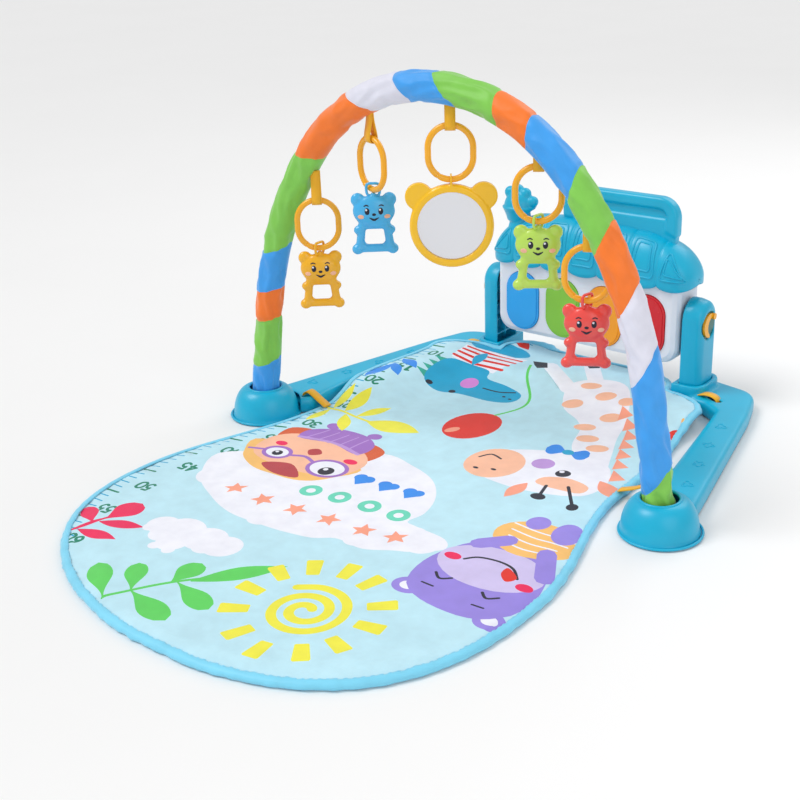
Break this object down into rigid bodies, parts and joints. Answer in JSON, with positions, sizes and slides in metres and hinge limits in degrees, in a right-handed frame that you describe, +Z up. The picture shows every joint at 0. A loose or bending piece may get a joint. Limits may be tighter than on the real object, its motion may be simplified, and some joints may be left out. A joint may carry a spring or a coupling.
{
  "type": "activity play gym",
  "caption": "Baby play gym with padded mat, toe-in side rails, fabric-covered arch with swinging ring-hung toys and a tilting toy piano.",
  "frame": {"origin": "centre of the footprint at floor level", "axes": "+Z up; -Y towards the free end of the mat; +Y towards the toy piano; +X to the right seen from the free end"},
  "size_m": [0.5476, 0.707, 0.3795],
  "materials": {
    "badge": "glossy",
    "battery": "printed sleeve",
    "bear_blue": "glossy",
    "bear_coral": "glossy",
    "bear_lime": "glossy",
    "bear_yellow": "glossy",
    "binding": "gathered edge tape",
    "board": "solder mask",
    "cyan": "satin",
    "key_blue": "glossy",
    "key_green": "glossy",
    "key_orange": "glossy",
    "key_red": "glossy",
    "mat": "printed peach-skin polyester over padding",
    "mirror": "polished",
    "mirror_yellow": "glossy",
    "pivot": "glossy",
    "ring": "glossy",
    "rubber": "matt",
    "sleeve": "striped woven polyester",
    "speaker": "matt",
    "steel": "zinc plated",
    "strap": "ribbed ribbon",
    "switch": "satin",
    "tube": "satin",
    "white_case": "satin"
  },
  "bodies": {
    "base": {"left_rail": "cyan", "right_rail": "cyan", "left_rail_cover": "cyan", "right_rail_cover": "cyan", "left_foot_dome": "cyan", "right_foot_dome": "cyan", "left_post": "cyan", "right_post": "cyan", "floor_pads": "rubber", "rail_screws": "steel", "left_tube": "tube", "right_tube": "tube", "tube_connector": "cyan", "arch_sleeve": "sleeve", "strap_1": "strap", "strap_2": "strap", "strap_3": "strap", "strap_4": "strap", "strap_5": "strap", "mat": "mat", "mat_binding": "binding", "mat_ties": "strap"},
    "piano": {"case_front": "white_case", "case_back": "white_case", "roof": "cyan", "handle": "cyan", "roof_figure": "cyan", "key_contacts": "rubber", "circuit_board": "board", "speaker": "speaker", "battery_tray": "white_case", "battery_contacts": "steel", "batteries": "battery", "battery_door": "white_case", "case_screws": "steel", "left_pivot": "pivot", "right_pivot": "pivot", "left_badge": "badge", "right_badge": "badge"},
    "key_1": {"key_1": "key_blue"},
    "key_2": {"key_2": "key_green"},
    "key_3": {"key_3": "key_orange"},
    "key_4": {"key_4": "key_red"},
    "power_switch": {"power_switch": "switch"},
    "mode_button": {"mode_button": "key_blue"},
    "volume_button": {"volume_button": "key_red"},
    "ring_1": {"ring_1": "ring"},
    "toy_1": {"bear_1": "bear_yellow"},
    "ring_2": {"ring_2": "ring"},
    "toy_2": {"bear_2": "bear_blue"},
    "ring_3": {"ring_3": "ring"},
    "toy_3": {"mirror_frame": "mirror_yellow", "mirror_glass": "mirror", "mirror_back": "mirror_yellow"},
    "ring_4": {"ring_4": "ring"},
    "toy_4": {"bear_4": "bear_lime"},
    "ring_5": {"ring_5": "ring"},
    "toy_5": {"bear_5": "bear_coral"}
  },
  "joints": [
    {"name": "piano_tilt", "type": "hinge", "parent": "base", "child": "piano", "pos_m": [0, 0.3195, 0.09], "axis": [1, 0, 0], "range_deg": [-30, 30]},
    {"name": "key_1_press", "type": "slide", "parent": "piano", "child": "key_1", "axis": [0, 1, 0], "range_m": [0, 0.003], "stiffness_N_per_m": 500, "springref_m": -0.001},
    {"name": "key_2_press", "type": "slide", "parent": "piano", "child": "key_2", "axis": [0, 1, 0], "range_m": [0, 0.003], "stiffness_N_per_m": 500, "springref_m": -0.001},
    {"name": "key_3_press", "type": "slide", "parent": "piano", "child": "key_3", "axis": [0, 1, 0], "range_m": [0, 0.003], "stiffness_N_per_m": 500, "springref_m": -0.001},
    {"name": "key_4_press", "type": "slide", "parent": "piano", "child": "key_4", "axis": [0, 1, 0], "range_m": [0, 0.003], "stiffness_N_per_m": 500, "springref_m": -0.001},
    {"name": "power_slide", "type": "slide", "parent": "piano", "child": "power_switch", "axis": [1, 0, 0], "range_m": [0, 0.01]},
    {"name": "mode_button_press", "type": "slide", "parent": "piano", "child": "mode_button", "axis": [0, -1, 0], "range_m": [0, 0.0015], "stiffness_N_per_m": 300, "springref_m": -0.0005},
    {"name": "volume_button_press", "type": "slide", "parent": "piano", "child": "volume_button", "axis": [0, -1, 0], "range_m": [0, 0.0015], "stiffness_N_per_m": 300, "springref_m": -0.0005},
    {"name": "ring_1_swing", "type": "hinge", "parent": "base", "child": "ring_1", "pos_m": [-0.146, 0.0315, 0.247], "axis": [0.766, 0.6428, 0], "range_deg": [-60, 35]},
    {"name": "toy_1_swing", "type": "hinge", "parent": "ring_1", "child": "toy_1", "pos_m": [-0.146, 0.0315, 0.199], "axis": [0.766, 0.6428, 0], "range_deg": [-60, 60]},
    {"name": "ring_2_swing", "type": "hinge", "parent": "base", "child": "ring_2", "pos_m": [-0.074, 0.0315, 0.314], "axis": [0.9563, -0.2924, 0], "range_deg": [-60, 60]},
    {"name": "toy_2_swing", "type": "hinge", "parent": "ring_2", "child": "toy_2", "pos_m": [-0.074, 0.0315, 0.266], "axis": [0.9563, -0.2924, 0], "range_deg": [-60, 60]},
    {"name": "ring_3_swing", "type": "hinge", "parent": "base", "child": "ring_3", "pos_m": [0.017, 0.0315, 0.334], "axis": [0.809, 0.5878, 0], "range_deg": [-60, 60]},
    {"name": "toy_3_swing", "type": "hinge", "parent": "ring_3", "child": "toy_3", "pos_m": [0.017, 0.0315, 0.286], "axis": [0.809, 0.5878, 0], "range_deg": [-60, 60]},
    {"name": "ring_4_swing", "type": "hinge", "parent": "base", "child": "ring_4", "pos_m": [0.104, 0.0395, 0.306], "axis": [0.8387, 0.5446, 0], "range_deg": [-45, 60]},
    {"name": "toy_4_swing", "type": "hinge", "parent": "ring_4", "child": "toy_4", "pos_m": [0.104, 0.0395, 0.258], "axis": [0.8387, 0.5446, 0], "range_deg": [-20, 60]},
    {"name": "ring_5_swing", "type": "hinge", "parent": "base", "child": "ring_5", "pos_m": [0.154, 0.0405, 0.243], "axis": [0.8829, 0.4695, 0], "range_deg": [-25, 60]},
    {"name": "toy_5_swing", "type": "hinge", "parent": "ring_5", "child": "toy_5", "pos_m": [0.154, 0.0405, 0.195], "axis": [0.8829, 0.4695, 0], "range_deg": [-25, 60]}
  ]
}
